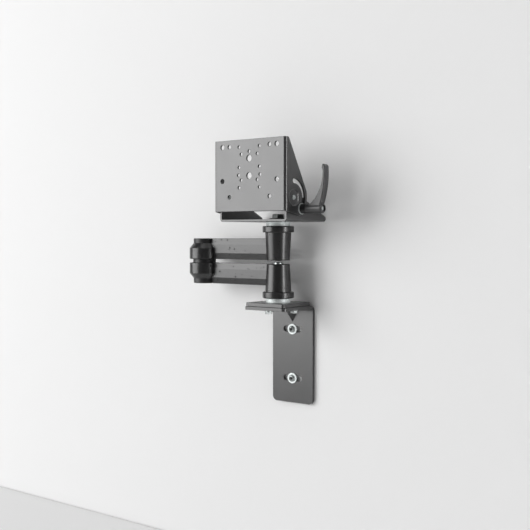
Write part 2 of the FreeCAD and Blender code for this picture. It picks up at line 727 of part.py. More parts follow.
def make_arm(name, z, rotation=None):
    """Cast arm: tapered boss with a collar at its foot, faceted bar and barrel-shaped elbow hub."""
    body = new_body(name, y=BOSS_Y, z=z, rotation=rotation)
    end = "dims.boss_height"
    rounding = "dims.cast_round"
    boss_half = new_sketch(body, "boss_half", "XZ_Plane")
    add_outline(boss_half, [
        ("0", "0"),
        (f"dims.collar_diameter / 2 - {rounding}", "0", "left", rounding),
        ("dims.collar_diameter / 2", rounding),
        ("dims.collar_diameter / 2", f"dims.collar_height - {rounding}", "left", rounding),
        (f"dims.collar_diameter / 2 - {rounding}", "dims.collar_height"),
        ("dims.boss_wide / 2", "dims.collar_height"),
        ("dims.boss_narrow / 2", f"{end} - {rounding}", "left", rounding),
        (f"dims.boss_narrow / 2 - {rounding}", end),
        ("0", end),
    ])
    revolve(body, "boss", boss_half)

    low = f"({end} - {BAR_HEIGHT})"
    bar_section = new_sketch(body, "bar_section", "YZ_Plane")
    add_outline(bar_section, [
        ("-dims.bar_crown / 2", low),
        ("dims.bar_crown / 2", low),
        ("dims.bar_width / 2", f"{low} + dims.bar_bevel"),
        ("dims.bar_width / 2", f"{end} - dims.bar_bevel"),
        ("dims.bar_crown / 2", end),
        ("-dims.bar_crown / 2", end),
        ("-dims.bar_width / 2", f"{end} - dims.bar_bevel"),
        ("-dims.bar_width / 2", f"{low} + dims.bar_bevel"),
    ])
    pad(body, "bar", bar_section, "dims.arm_length", backwards=True)
    taper = "(dims.boss_wide - dims.boss_narrow) / 2"
    climb = f"({low} - dims.collar_height) / ({end} - dims.collar_height)"
    flank = f"(dims.boss_wide / 2 - {taper} * {climb})"
    root_side = new_sketch(body, "root_side", "XZ_Plane")
    add_outline(root_side, [
        ("-dims.boss_narrow / 2", f"{low} + dims.bar_root"),
        (f"-{flank} - dims.bar_root", f"{low} + dims.bar_root"),
        (f"-{flank} - dims.bar_root", low, "right", "dims.bar_root"),
        (f"-{flank}", f"{low} - dims.bar_root"),
        ("-dims.boss_narrow / 2", f"{low} - dims.bar_root"),
    ])
    pad(body, "bar_root", root_side, "dims.bar_crown", symmetric=True)

    elbow = "-dims.arm_length"
    hub_half = new_sketch(body, "hub_half", "XZ_Plane", shift=elbow)
    add_outline(hub_half, [
        ("0", CAP_SEAT),
        ("dims.cap_diameter / 2", CAP_SEAT),
        ("dims.hub_diameter / 2", f"{end} - dims.hub_barrel"),
        ("dims.hub_diameter / 2", f"{end} - {rounding}", "left", rounding),
        (f"dims.hub_diameter / 2 - {rounding}", end),
        ("0", end),
    ])
    revolve(body, "hub", hub_half)

    boss_bore = new_sketch(body, "boss_bore_half", "XZ_Plane")
    add_outline(boss_bore, [
        ("0", "0"),
        (f"{JOURNAL} / 2", "0"),
        (f"{JOURNAL} / 2", f"{end} - dims.boss_recess_depth"),
        ("dims.boss_recess / 2", f"{end} - dims.boss_recess_depth"),
        ("dims.boss_recess / 2", end),
        ("0", end),
    ])
    groove(body, "boss_bore", boss_bore)
    hub_bore = new_sketch(body, "hub_bore_half", "XZ_Plane", shift=elbow)
    cap_room = "dims.cap_diameter / 2 + dims.cap_play"
    below = f"{low} - dims.cap_height"
    add_outline(hub_bore, [
        ("0", end),
        ("0", below),
        (cap_room, below),
        (cap_room, CAP_SEAT),
        ("dims.hub_recess / 2", CAP_SEAT),
        ("dims.hub_recess / 2", HUB_FLOOR),
        (f"{JOURNAL} / 2", HUB_FLOOR),
        (f"{JOURNAL} / 2", end),
    ])
    groove(body, "hub_bore", hub_bore)


def make_hub_cap(name, z, rotation=None):
    """Black cap with a thin spigot that plugs the recess of an elbow hub."""
    body = new_body(name, x="-dims.arm_length", y=BOSS_Y, z=z, rotation=rotation)
    plug = "dims.hub_recess / 2"
    half = new_sketch(body, "cap_half", "XZ_Plane")
    add_outline(half, [
        ("0", "0"),
        (f"{plug} - dims.cap_wall", "0"),
        (f"{plug} - dims.cap_wall", "-dims.cap_spigot"),
        (plug, "-dims.cap_spigot"),
        (plug, "0"),
        ("dims.cap_diameter / 2", "0"),
        ("dims.cap_diameter / 2", "dims.cap_height - dims.cap_round", "left", "dims.cap_round"),
        ("dims.cap_diameter / 2 - dims.cap_round", "dims.cap_height"),
        ("0", "dims.cap_height"),
    ])
    revolve(body, "cap", half)


def make_hex_bolt(name, x, z, shank):
    """Hexagon bolt on an upright pivot with its head on top."""
    body = new_body(name, x=x, y=BOSS_Y, z=z)
    hexagon = new_sketch(body, "head_hexagon", "XY_Plane")
    add_hexagon(hexagon, "dims.pivot_flats")
    pad(body, "head", hexagon, "dims.head_bolt_head")
    bevel_hexagon(body, "head_bevel", "dims.pivot_flats", "dims.head_bolt_head", 1)
    circle = new_sketch(body, "shank_circle", "XY_Plane")
    add_circle(circle, "0", "0", "dims.pivot_bolt")
    pad(body, "shank", circle, shank, backwards=True)


def make_hex_nut(name, x, z):
    """Plain hexagon nut on an upright pivot, hanging below its seat."""
    body = new_body(name, x=x, y=BOSS_Y, z=z)
    hexagon = new_sketch(body, "nut_hexagon", "XY_Plane")
    add_hexagon(hexagon, "dims.pivot_flats")
    add_circle(hexagon, "0", "0", "dims.pivot_bolt")
    pad(body, "nut", hexagon, "dims.pivot_nut_height", backwards=True)
    bevel_hexagon(body, "nut_bevel", "dims.pivot_flats", "-dims.pivot_nut_height", -1)


def make_head_tray():
    """Folded tray: flat floor on the upper arm and two cheeks that rise to the tilt pivots."""
    body = new_body("head_tray", y=BOSS_Y, z=TRAY_UNDERSIDE)
    run = "(dims.tray_rear + dims.pivot_reach)"
    fall = "(dims.pivot_height - dims.tray_rear_height)"
    lean = f"(asin(dims.cheek_round / sqrt({run} ^ 2 + {fall} ^ 2)) + atan({fall} / {run}))"
    peak = f"(dims.pivot_height + dims.cheek_round * (1 + sin({lean})) / cos({lean}))"
    rear_top = "dims.tray_rear_height"
    section = new_sketch(body, "tray_section", "XZ_Plane", lift="-dims.tray_rear")
    add_outline(section, [
        (f"-{TRAY_HALF}", peak),
        (f"-{TRAY_HALF}", "0"),
        (TRAY_HALF, "0"),
        (TRAY_HALF, peak),
        (TRAY_INSIDE, peak),
        (TRAY_INSIDE, "dims.tray_gauge"),
        (f"-{TRAY_INSIDE}", "dims.tray_gauge"),
        (f"-{TRAY_INSIDE}", peak),
    ])
    channel = pad(body, "tray_channel", section, f"{TRAY_FRONT} + dims.tray_rear")
    half = value(TRAY_HALF)
    outer_edges = edges_at(channel, x=half, z=0) + edges_at(channel, x=-half, z=0)
    outer = fillet(body, "tray_bend_outside", channel, outer_edges, "dims.tray_bend + dims.tray_gauge")
    wall = value(TRAY_INSIDE)
    floor = value("dims.tray_gauge")
    inner_edges = edges_at(outer, x=wall, z=floor) + edges_at(outer, x=-wall, z=floor)
    fillet(body, "tray_bend_inside", outer, inner_edges, "dims.tray_bend")

    slope = new_sketch(body, "cheek_slope_sketch", "YZ_Plane")
    add_outline(slope, [
        (f"-{TRAY_FRONT}", peak),
        ("dims.tray_rear", rear_top),
        ("dims.tray_rear", peak),
    ])
    cheeks = pocket(body, "cheek_slope", slope, "2 * dims.tilt_width", symmetric=True)
    nose_edges = edges_at(cheeks, y=-value(TRAY_FRONT), z=value(peak))
    nose = fillet(body, "cheek_nose", cheeks, nose_edges, "dims.cheek_round")
    tail_edges = edges_at(nose, y=value("dims.tray_rear"), z=value(rear_top))
    fillet(body, "cheek_tail", nose, tail_edges, "dims.tray_rear_round")

    pivots = new_sketch(body, "tilt_holes_sketch", "YZ_Plane")
    add_circle(pivots, "-dims.pivot_reach", "dims.pivot_height", "dims.tilt_screw")
    pocket(body, "tilt_holes", pivots, "2 * dims.tilt_width", symmetric=True)
    clamp = new_sketch(body, "stud_hole_sketch", "YZ_Plane")
    stud_y = f"-dims.pivot_reach + {STUD_BACK}"
    stud_z = f"dims.pivot_height - {STUD_DOWN}"
    add_circle(clamp, stud_y, stud_z, "dims.stud + 2 * dims.journal_play")
    pocket(body, "stud_hole", clamp, "dims.tilt_width", backwards=True)
    centre = new_sketch(body, "floor_hole_sketch", "XY_Plane", lift="dims.tray_gauge")
    add_circle(centre, "0", "0", "dims.pivot_bolt")
    pocket(body, "floor_hole", centre, "2 * dims.tray_gauge")


def make_tilt_bracket():
    """Folded bracket about the tilt pivot: device plate in front and a cheek outside each tray cheek."""
    body = new_body("tilt_bracket", y=PIVOT_Y, z=PIVOT_Z)
    inside = f"({TILT_HALF} - dims.tilt_gauge)"
    depth = "(dims.plate_reach + dims.cheek_back)"
    lowest = f"(-dims.plate_drop - {depth} * tan(dims.cheek_fall))"
    plan = new_sketch(body, "bracket_plan", "XY_Plane", lift=lowest)
    add_outline(plan, [
        (f"-{TILT_HALF}", "dims.cheek_back"),
        (f"-{TILT_HALF}", "-dims.plate_reach"),
        (TILT_HALF, "-dims.plate_reach"),
        (TILT_HALF, "dims.cheek_back"),
        (inside, "dims.cheek_back"),
        (inside, "dims.tilt_gauge - dims.plate_reach"),
        (f"-{inside}", "dims.tilt_gauge - dims.plate_reach"),
        (f"-{inside}", "dims.cheek_back"),
    ])
    channel = pad(body, "bracket_channel", plan, f"{PLATE_TOP} - {lowest}")
    half = value(TILT_HALF)
    front = -value("dims.plate_reach")
    outer_edges = edges_at(channel, x=half, y=front) + edges_at(channel, x=-half, y=front)
    outer = fillet(body, "bracket_bend_outside", channel, outer_edges, "dims.tilt_bend + dims.tilt_gauge")
    wall = value(inside)
    back = value("dims.tilt_gauge - dims.plate_reach")
    inner_edges = edges_at(outer, x=wall, y=back) + edges_at(outer, x=-wall, y=back)
    fillet(body, "bracket_bend_inside", outer, inner_edges, "dims.tilt_bend")
    trim_cheeks(body, lowest)
    press_dimples(body, inside)
    cut_tilt_slot(body, inside)
    drill_device_holes(body)


def trim_cheeks(body, lowest):
    """Cut the cheeks to their outline: sloping back edge, upright knee and falling foot."""
    spare = "dims.tilt_gauge"
    top_y = f"(dims.cheek_back - ({PLATE_TOP} - dims.cheek_knee) / tan(dims.cheek_lean))"
    spare_y = f"({top_y} - {spare} / tan(dims.cheek_lean))"
    drop = f"{spare} * tan(dims.cheek_fall)"
    waste = new_sketch(body, "cheek_waste", "YZ_Plane")
    add_outline(waste, [
        (spare_y, f"{PLATE_TOP} + {spare}"),
        ("dims.cheek_back", "dims.cheek_knee"),
        (f"dims.cheek_back + {spare}", "dims.cheek_knee"),
        (f"dims.cheek_back + {spare}", f"{PLATE_TOP} + {spare}"),
    ])
    add_outline(waste, [
        (f"-dims.plate_reach - {spare}", f"{drop} - dims.plate_drop"),
        (f"-dims.plate_reach - {spare}", f"{lowest} - 2 * {spare}"),
        (f"dims.cheek_back + {spare}", f"{lowest} - 2 * {spare}"),
        (f"dims.cheek_back + {spare}", f"{lowest} - {drop}"),
    ])
    cut = pocket(body, "cheek_trim", waste, "2 * dims.tilt_width", symmetric=True)
    top_edges = edges_at(cut, y=value(top_y), z=value(PLATE_TOP))
    top = fillet(body, "cheek_top", cut, top_edges, "dims.cheek_top_round")
    back = value("dims.cheek_back")
    knee_edges = edges_at(top, y=back, z=value("dims.cheek_knee"))
    knee = fillet(body, "cheek_knee", top, knee_edges, "dims.cheek_knee_round")
    foot_edges = edges_at(knee, y=back, z=value(lowest))
    fillet(body, "cheek_foot", knee, foot_edges, "dims.cheek_foot_round")


def press_dimples(body, inside):
    """Press a round dimple inwards about each pivot, so that the cheeks bear there."""
    skin = "dims.tilt_gauge / 3"
    bumps = new_sketch(body, "dimple_bumps", "XZ_Plane")
    hollows = new_sketch(body, "dimple_hollows", "XZ_Plane")
    for sign in ("", "-"):
        face = f"{sign}({inside})"
        add_outline(bumps, [
            (f"{face} - {sign}dims.dimple_depth", "0"),
            (f"{face} - {sign}dims.dimple_depth", "dims.dimple_floor / 2"),
            (face, "dims.dimple_mouth / 2"),
            (f"{face} + {sign}{skin}", "dims.dimple_mouth / 2"),
            (f"{face} + {sign}{skin}", "0"),
        ])
        outer = f"{sign}({TILT_HALF})"
        add_outline(hollows, [
            (f"{outer} - {sign}dims.dimple_depth", "0"),
            (f"{outer} - {sign}dims.dimple_depth", "dims.dimple_floor / 2"),
            (outer, "dims.dimple_mouth / 2"),
            (f"{outer} + {sign}{skin}", "dims.dimple_mouth / 2"),
            (f"{outer} + {sign}{skin}", "0"),
        ])
    revolve(body, "dimple_bump", bumps, axis="H_Axis")
    groove(body, "dimple_hollow", hollows, axis="H_Axis")
    pivots = new_sketch(body, "pivot_holes_sketch", "YZ_Plane")
    add_circle(pivots, "0", "0", "dims.tilt_screw + 2 * dims.journal_play")
    pocket(body, "pivot_holes", pivots, "2 * dims.tilt_width", symmetric=True)


def cut_tilt_slot(body, inside):
    """Cut the arc slot for the clamp stud in the right cheek, from above the pivot round to the stud."""
    spare = "dims.tilt_gauge"
    arc = new_sketch(body, "slot_section", "XZ_Plane")
    inner = "dims.slot_radius - dims.tilt_slot / 2"
    outer = "dims.slot_radius + dims.tilt_slot / 2"
    add_outline(arc, [
        (f"{inside} - {spare}", inner),
        (f"{TILT_HALF} + {spare}", inner),
        (f"{TILT_HALF} + {spare}", outer),
        (f"{inside} - {spare}", outer),
    ])
    groove(body, "slot_arc", arc, axis="H_Axis", sweep="90 + dims.stud_angle", backwards=True)
    ends = new_sketch(body, "slot_end_circles", "YZ_Plane", lift=f"{TILT_HALF} + {spare}")
    add_circle(ends, "0", "dims.slot_radius", "dims.tilt_slot")
    add_circle(ends, STUD_BACK, f"-{STUD_DOWN}", "dims.tilt_slot")
    pocket(body, "slot_ends", ends, f"3 * {spare}")


def drill_device_holes(body):
    """Drill the device plate: square, wide, oblong and ring patterns and two cable holes."""
    holes = new_sketch(body, "device_holes", "XZ_Plane", lift="dims.plate_reach")
    middle = "dims.hole_rise"
    for side in ("-", ""):
        for rise in ("-dims.short_pitch", "0", "dims.short_pitch"):
            add_circle(holes, f"{side}dims.long_pitch / 2", f"{middle} + {rise}", "dims.small_hole")
        for rise in ("-dims.long_pitch / 2", "dims.long_pitch / 2"):
            add_circle(holes, f"{side}dims.short_pitch / 2", f"{middle} + {rise}", "dims.small_hole")
        for rise in ("-dims.square_pitch / 2", "dims.square_pitch / 2"):
            add_circle(holes, f"{side}dims.square_pitch / 2", f"dims.square_rise + {rise}", "dims.square_hole")
        for rise in ("-dims.wide_drop / 2", "dims.wide_drop / 2"):
            add_circle(holes, f"{side}dims.wide_pitch / 2", f"dims.wide_rise + {rise}", "dims.wide_hole")
        add_circle(holes, "0", f"{middle} + {side}dims.cable_pitch / 2", "dims.cable_hole")
    for angle in (90, 210, 330):
        x = f"dims.ring_circle / 2 * cos({angle})"
        z = f"{middle} + dims.ring_circle / 2 * sin({angle})"
        add_circle(holes, x, z, "dims.small_hole")
    pocket(body, "device_hole_set", holes, "2 * dims.tilt_gauge")


def make_pivot_screws():
    """Two low-head screws in the dimples, on which the bracket tilts."""
    body = new_body("pivot_screws", y=PIVOT_Y, z=PIVOT_Z)
    seat = f"({TILT_HALF} - dims.dimple_depth + dims.thrust_gap)"
    start = f"({TRAY_INSIDE} - dims.tilt_nut_height)"
    half = new_sketch(body, "screw_half", "XZ_Plane")
    add_outline(half, [
        (start, "0"),
        (f"{seat} + dims.tilt_head_height", "0"),
        (f"{seat} + dims.tilt_head_height", "dims.tilt_screw / 2"),
        (f"{seat} + dims.tilt_head_height / 2", "dims.tilt_head / 2"),
        (seat, "dims.tilt_head / 2"),
        (seat, "dims.tilt_screw / 2"),
        (start, "dims.tilt_screw / 2"),
    ])
    screw = revolve(body, "screw", half, axis="H_Axis")
    mirror(body, "screw_pair", [screw], "YZ_Plane")


def make_pivot_nuts():
    """Nuts of the tilt screws on the inside of the tray cheeks."""
    body = new_body("pivot_nuts", y=PIVOT_Y, z=PIVOT_Z)
    hexagon = new_sketch(body, "nut_hexagon", "YZ_Plane", lift=TRAY_INSIDE)
    add_hexagon(hexagon, "dims.tilt_nut_flats")
    add_circle(hexagon, "0", "0", "dims.tilt_screw")
    nut = pad(body, "nut", hexagon, "dims.tilt_nut_height", backwards=True)
    mirror(body, "nut_pair", [nut], "YZ_Plane")


def make_clamp_washer():
    """Zinc washer between the slotted cheek and the lever's insert."""
    body = new_body("clamp_washer", y=STUD_Y, z=STUD_Z)
    ring = new_sketch(body, "washer_ring", "YZ_Plane", lift=WASHER_INNER)
    add_circle(ring, "0", "0", "dims.clamp_washer")
    add_circle(ring, "0", "0", "dims.stud")
    pad(body, "washer", ring, "dims.clamp_washer_thickness")


def make_clamp_nut():
    """Nut of the clamp stud on the inside of the right tray cheek."""
    body = new_body("clamp_nut", y=STUD_Y, z=STUD_Z)
    hexagon = new_sketch(body, "nut_hexagon", "YZ_Plane", lift=TRAY_INSIDE)
    add_hexagon(hexagon, "dims.tilt_nut_flats")
    add_circle(hexagon, "0", "0", "dims.stud + 2 * dims.journal_play")
    pad(body, "nut", hexagon, "dims.tilt_nut_height", backwards=True)


def make_clamp_insert():
    """Steel insert of the lever: stud, collar, plain body and a crown of teeth."""
    body = new_body("clamp_insert", y=STUD_Y, z=STUD_Z)
    start = f"({TRAY_INSIDE} - dims.tilt_nut_height)"
    collar_end = f"({WASHER_OUTER} + dims.insert_collar_height)"
    half = new_sketch(body, "insert_half", "XZ_Plane")
    add_outline(half, [
        (start, "0"),
        (INSERT_END, "0"),
        (INSERT_END, "dims.tooth_tip / 2"),
        (TOOTH_START, "dims.tooth_tip / 2"),
        (TOOTH_START, "dims.insert_body / 2"),
        (collar_end, "dims.insert_body / 2"),
        (collar_end, "dims.insert_collar / 2"),
        (WASHER_OUTER, "dims.insert_collar / 2"),
        (WASHER_OUTER, "dims.stud / 2"),
        (start, "dims.stud / 2"),
    ])
    revolve(body, "insert", half, axis="H_Axis")
    thread = new_sketch(body, "thread_circle", "YZ_Plane", lift=INSERT_END)
    add_circle(thread, "0", "0", "dims.lever_screw")
    pocket(body, "thread", thread, "dims.lever_screw_bite")
    notch = new_sketch(body, "notch_outline", "YZ_Plane", lift=INSERT_END)
    tip = "dims.tooth_tip / 2"
    add_outline(notch, [
        ("0", f"{tip} - dims.tooth_notch"),
        ("dims.tooth_notch", f"{tip} + dims.socket_play"),
        ("-dims.tooth_notch", f"{tip} + dims.socket_play"),
    ])
    cut = pocket(body, "notch", notch, "dims.tooth_length")
    repeat_round(body, "teeth", [cut], "X_Axis", "dims.tooth_count")


def make_lever_screw():
    """Retaining screw in the end of the lever, with a hexagon key hole."""
    body = new_body("lever_screw", y=STUD_Y, z=STUD_Z)
    start = f"({INSERT_END} - dims.lever_screw_bite)"
    face = f"({HEAD_INNER} + dims.lever_screw_head_height)"
    half = new_sketch(body, "screw_half", "XZ_Plane")
    add_outline(half, [
        (start, "0"),
        (face, "0"),
        (face, "dims.lever_screw_head / 2"),
        (HEAD_INNER, "dims.lever_screw_head / 2"),
        (HEAD_INNER, "dims.lever_screw / 2"),
        (start, "dims.lever_screw / 2"),
    ])
    revolve(body, "screw", half, axis="H_Axis")
    key = new_sketch(body, "key_hexagon", "YZ_Plane", lift=face)
    add_hexagon(key, "dims.lever_key")
    pocket(body, "key_hole", key, "dims.lever_screw_head_height / 2")


def make_lever_spring():
    """Coil spring between the lever's web and the screw's head; it holds the lever on the teeth."""
    body = new_body("lever_spring", y=STUD_Y, z=STUD_Z)
    coil_radius = "(dims.lever_screw + dims.lever_screw_head) / 4"
    wire = new_sketch(body, "wire_circle", "XZ_Plane")
    add_circle(wire, f"{WEB_OUTER} + dims.spring_wire / 2", coil_radius, "dims.spring_wire")
    coil = add_feature(body, "AdditiveHelix", "coil", wire)
    coil.ReferenceAxis = (wire, ["H_Axis"])
    coil.Mode = "height-turns-angle"
    coil.setExpression("Height", "dims.spring_space - dims.spring_wire")
    coil.setExpression("Turns", "dims.spring_turns")
    document.recompute()


def make_lever_handle():
    """Clamping lever: hub with a toothed socket and a flat-sided hooked handle with a rounded back."""
    body = new_body("lever_handle", y=STUD_Y, z=STUD_Z)
    back_foot = f"({HUB_END} - dims.lever_inset)"
    back_top = f"({HUB_END} + dims.lever_lean)"
    web_foot = f"({back_foot} - dims.lever_web_foot)"
    crest = "dims.lever_rise + dims.lever_tip"
    side = new_sketch(body, "handle_side", "XZ_Plane")
    add_outline(side, [
        (back_foot, "0", "left", "dims.lever_back_bow"),
        (back_top, "dims.lever_rise", "left", "dims.lever_tip"),
        (f"{back_top} - dims.lever_tip * 0.7", crest),
        (f"{back_top} - dims.lever_nose", "dims.lever_rise", "right", "dims.lever_finger_bow"),
        (f"{back_top} - dims.lever_neck", "dims.lever_neck_rise", "right", "dims.lever_web_bow"),
        (web_foot, "dims.lever_hub / 2 - dims.lever_hub_round"),
        (web_foot, "0"),
    ])
    handle = pad(body, "handle", side, "dims.lever_thickness", symmetric=True)
    half = value("dims.lever_thickness / 2")
    flanks = edges_at(handle, y=half) + edges_at(handle, y=-half)

    def is_back(name):
        box = handle.Shape.getElement(name).BoundBox
        return box.ZLength > value("dims.lever_neck_rise") + SAME_PLACE

    fillet(body, "handle_back", handle, [name for name in flanks if is_back(name)], "dims.lever_back_round")

    hub_half = new_sketch(body, "hub_half", "XZ_Plane")
    add_outline(hub_half, [
        (HUB_START, "0"),
        (HUB_END, "0"),
        (HUB_END, "dims.lever_hub / 2 - dims.lever_hub_round", "left", "dims.lever_hub_round"),
        (f"{HUB_END} - dims.lever_hub_round", "dims.lever_hub / 2"),
        (HUB_START, "dims.lever_hub / 2"),
    ])
    revolve(body, "hub", hub_half, axis="H_Axis")
    cavity = new_sketch(body, "cavity_half", "XZ_Plane")
    socket = "dims.insert_body / 2 + dims.socket_play"
    crown = "(dims.tooth_tip / 2 + dims.socket_play)"
    add_outline(cavity, [
        (HUB_START, "0"),
        (HUB_END, "0"),
        (HUB_END, "dims.lever_recess / 2"),
        (WEB_OUTER, "dims.lever_recess / 2"),
        (WEB_OUTER, "dims.lever_screw / 2 + dims.socket_play"),
        (WEB_INNER, "dims.lever_screw / 2 + dims.socket_play"),
        (WEB_INNER, crown),
        (f"{TOOTH_START} + dims.thrust_gap", crown),
        (f"{TOOTH_START} + dims.thrust_gap", socket),
        (HUB_START, socket),
    ])
    groove(body, "cavity", cavity, axis="H_Axis")
    tooth = new_sketch(body, "tooth_outline", "YZ_Plane", lift=f"{TOOTH_START} + dims.thrust_gap")
    reach = "(dims.tooth_notch - dims.socket_play)"
    bury = "dims.socket_play"
    add_outline(tooth, [
        ("0", f"{crown} - {reach}"),
        (reach, f"{crown} + {bury}"),
        (f"-{reach}", f"{crown} + {bury}"),
    ])
    ridge = pad(body, "tooth", tooth, "dims.tooth_length")
    repeat_round(body, "socket_teeth", [ridge], "X_Axis", "dims.tooth_count")


def build():
    """Make every piece of the mount."""
    make_wall_bracket()
    make_wall_screws()
    make_wall_washers()
    make_base_plate()
    make_base_bolts()
    make_base_bolt_washers()
    make_ring("lower_spacer", "0", BASE_TOP, "dims.spacer_diameter", "dims.pivot_bolt", "dims.spacer_height")
    make_lower_pivot_bolt()
    make_lower_pivot_nut()
    make_arm("lower_arm", LOWER_FOOT)
    make_hub_cap("lower_hub_cap", f"{LOWER_FOOT} + {CAP_SEAT}", HALF_TURN)
    gap = "dims.arm_gap - dims.thrust_gap"
    make_ring("elbow_spacer", "-dims.arm_length", LOWER_END, "dims.spacer_diameter", JOURNAL, gap)
    elbow_seat = f"{UPPER_FOOT} - {HUB_FLOOR} + dims.thrust_gap"
    elbow_floor = f"({LOWER_FOOT} + {HUB_FLOOR})"
    elbow_shank = f"{elbow_seat} - {elbow_floor} + dims.pivot_nut_height"
    make_hex_bolt("elbow_bolt", "-dims.arm_length", elbow_seat, elbow_shank)
    make_hex_nut("elbow_nut", "-dims.arm_length", elbow_floor)
    make_arm("upper_arm", UPPER_FOOT, HALF_TURN)
    make_hub_cap("upper_hub_cap", f"{UPPER_FOOT} - {CAP_SEAT}")
    spacer_foot = f"{UPPER_FOOT} + dims.thrust_gap"
    make_ring("upper_spacer", "0", spacer_foot, "dims.spacer_diameter", "dims.pivot_bolt", "dims.spacer_height")
    make_head_tray()
    floor = f"{TRAY_UNDERSIDE} + dims.tray_gauge"
    make_ring("head_washer", "0", floor, "dims.head_washer", "dims.pivot_bolt", "dims.head_washer_thickness")
    head_seat = f"({floor} + dims.head_washer_thickness)"
    make_hex_bolt("head_bolt", "0", head_seat, f"{head_seat} - {UPPER_END} + dims.bolt_end")
    make_hex_nut("head_nut", "0", f"{UPPER_END} + dims.boss_recess_depth - dims.thrust_gap")
    make_tilt_bracket()
    make_pivot_screws()
    make_pivot_nuts()
    make_clamp_washer()
    make_clamp_nut()
    make_clamp_insert()
    make_lever_screw()
    make_lever_spring()
    make_lever_handle()


def require_sound(pieces):
    """Stop if any feature failed or any piece has no valid shape."""
    for item in document.Objects:
        if "Invalid" in item.State or "Error" in item.State:
            raise RuntimeError(f"{item.Label} failed")
    for piece in pieces:
        if piece.Shape.isNull() or not piece.Shape.isValid():
            raise RuntimeError(f"{piece.Label} has no valid shape")


build()
document.recompute()
bodies = [item for item in document.Objects if item.TypeId == "PartDesign::Body"]
require_sound(bodies)
os.makedirs("parts", exist_ok=True)
for piece in bodies:
    piece.Shape.exportStep(f"parts/{piece.Label}.step")
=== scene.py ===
"""Looks of the folding wall mount: its finishes, the studio and the camera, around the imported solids.

Lengths are in metres, in the frame of the solids: the wall is the plane Y = 0, the room lies on its -Y
side, +Z is up and +X is to the right as seen from the room.
"""

import json
import logging
import math
from dataclasses import dataclass
from enum import Enum

import bpy
from mathutils import Matrix, Vector


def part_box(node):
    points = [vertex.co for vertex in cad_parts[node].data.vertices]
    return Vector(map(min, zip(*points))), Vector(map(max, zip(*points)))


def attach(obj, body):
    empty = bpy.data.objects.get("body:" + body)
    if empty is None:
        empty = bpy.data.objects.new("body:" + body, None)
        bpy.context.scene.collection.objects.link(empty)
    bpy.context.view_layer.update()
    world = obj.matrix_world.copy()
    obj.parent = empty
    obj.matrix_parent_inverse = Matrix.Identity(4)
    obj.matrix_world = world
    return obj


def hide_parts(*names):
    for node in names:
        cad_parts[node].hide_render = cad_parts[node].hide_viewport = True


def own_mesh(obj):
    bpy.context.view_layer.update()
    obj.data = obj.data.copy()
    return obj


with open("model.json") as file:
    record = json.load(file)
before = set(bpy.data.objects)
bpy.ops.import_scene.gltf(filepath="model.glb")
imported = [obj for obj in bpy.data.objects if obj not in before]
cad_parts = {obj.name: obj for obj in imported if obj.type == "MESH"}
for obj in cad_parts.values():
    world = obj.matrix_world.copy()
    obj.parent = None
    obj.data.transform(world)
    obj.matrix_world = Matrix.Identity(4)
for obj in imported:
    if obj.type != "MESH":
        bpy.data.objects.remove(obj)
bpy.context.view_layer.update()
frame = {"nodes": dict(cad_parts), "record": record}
LOG = logging.getLogger("wall_mount")

Colour = tuple[float, float, float]
Place = tuple[float, float, float]
Pair = tuple[float, float]

# Where the axes of the screws lie: height of the upper wall screw, and Y and Z of the lever's screw.
WALL_SCREW_RISE = 0.0388
LEVER_AXIS: Pair = (-0.07745, 0.22525)

# Shader settings that all finishes share.
NOISE_MIDDLE = 0.5
BEVEL_SAMPLES = 6
EDGE_GAIN = 6.0
SPECK_SHARPNESS = 4.0

# Socket numbers of a Mix node that blends colours.
MIX_SHARE, MIX_FIRST, MIX_SECOND, MIX_RESULT = 0, 6, 7, 2


class Operation(Enum):
    """What a Math node does with its numbers."""

    ADD = "ADD"
    SUBTRACT = "SUBTRACT"
    MULTIPLY = "MULTIPLY"
    POWER = "POWER"
    ABSOLUTE = "ABSOLUTE"
    LESS = "LESS_THAN"
    MORE = "GREATER_THAN"


@dataclass(frozen=True)
class Grain:
    """Cloudy noise: the size of its clouds, and the number and the strength of its finer layers."""

    size: float
    layers: float = 3.0
    strength: float = 0.5


@dataclass(frozen=True)
class Relief:
    """Fine unevenness of a surface: what a height of 1 is, and the share of it that shows."""

    depth: float
    share: float


class Wave:
    """Output socket of a shader node that takes part in Python expressions."""

    def __init__(self, shader: "Shader", socket: bpy.types.NodeSocket) -> None:
        """Keep the socket and the shader that it belongs to."""
        self.shader = shader
        self.socket = socket

    def __add__(self, other: "Wave | float") -> "Wave":
        """Return self + other."""
        return self.shader.math(Operation.ADD, self, other)

    def __radd__(self, other: float) -> "Wave":
        """Return other + self."""
        return self.shader.math(Operation.ADD, other, self)

    def __sub__(self, other: "Wave | float") -> "Wave":
        """Return self - other."""
        return self.shader.math(Operation.SUBTRACT, self, other)

    def __rsub__(self, other: float) -> "Wave":
        """Return other - self."""
        return self.shader.math(Operation.SUBTRACT, other, self)

    def __mul__(self, other: "Wave | float") -> "Wave":
        """Return self * other."""
        return self.shader.math(Operation.MULTIPLY, self, other)

    def __rmul__(self, other: float) -> "Wave":
        """Return other * self."""
        return self.shader.math(Operation.MULTIPLY, other, self)

    def __pow__(self, other: "Wave | float") -> "Wave":
        """Return self to the power of other."""
        return self.shader.math(Operation.POWER, self, other)

    def __rpow__(self, other: float) -> "Wave":
        """Return other to the power of self."""
        return self.shader.math(Operation.POWER, other, self)

    def __lt__(self, other: "Wave | float") -> "Wave":
        """Return 1 where self is less than other, and 0 elsewhere."""
        return self.shader.math(Operation.LESS, self, other)

    def __gt__(self, other: "Wave | float") -> "Wave":
        """Return 1 where self is more than other, and 0 elsewhere."""
        return self.shader.math(Operation.MORE, self, other)

    def __abs__(self) -> "Wave":
        """Return self without its sign."""
        return self.shader.math(Operation.ABSOLUTE, self)

    def sway(self, span: float) -> "Wave":
        """Return how far a noise lies from its middle, times a span."""
        return (self - NOISE_MIDDLE) * span


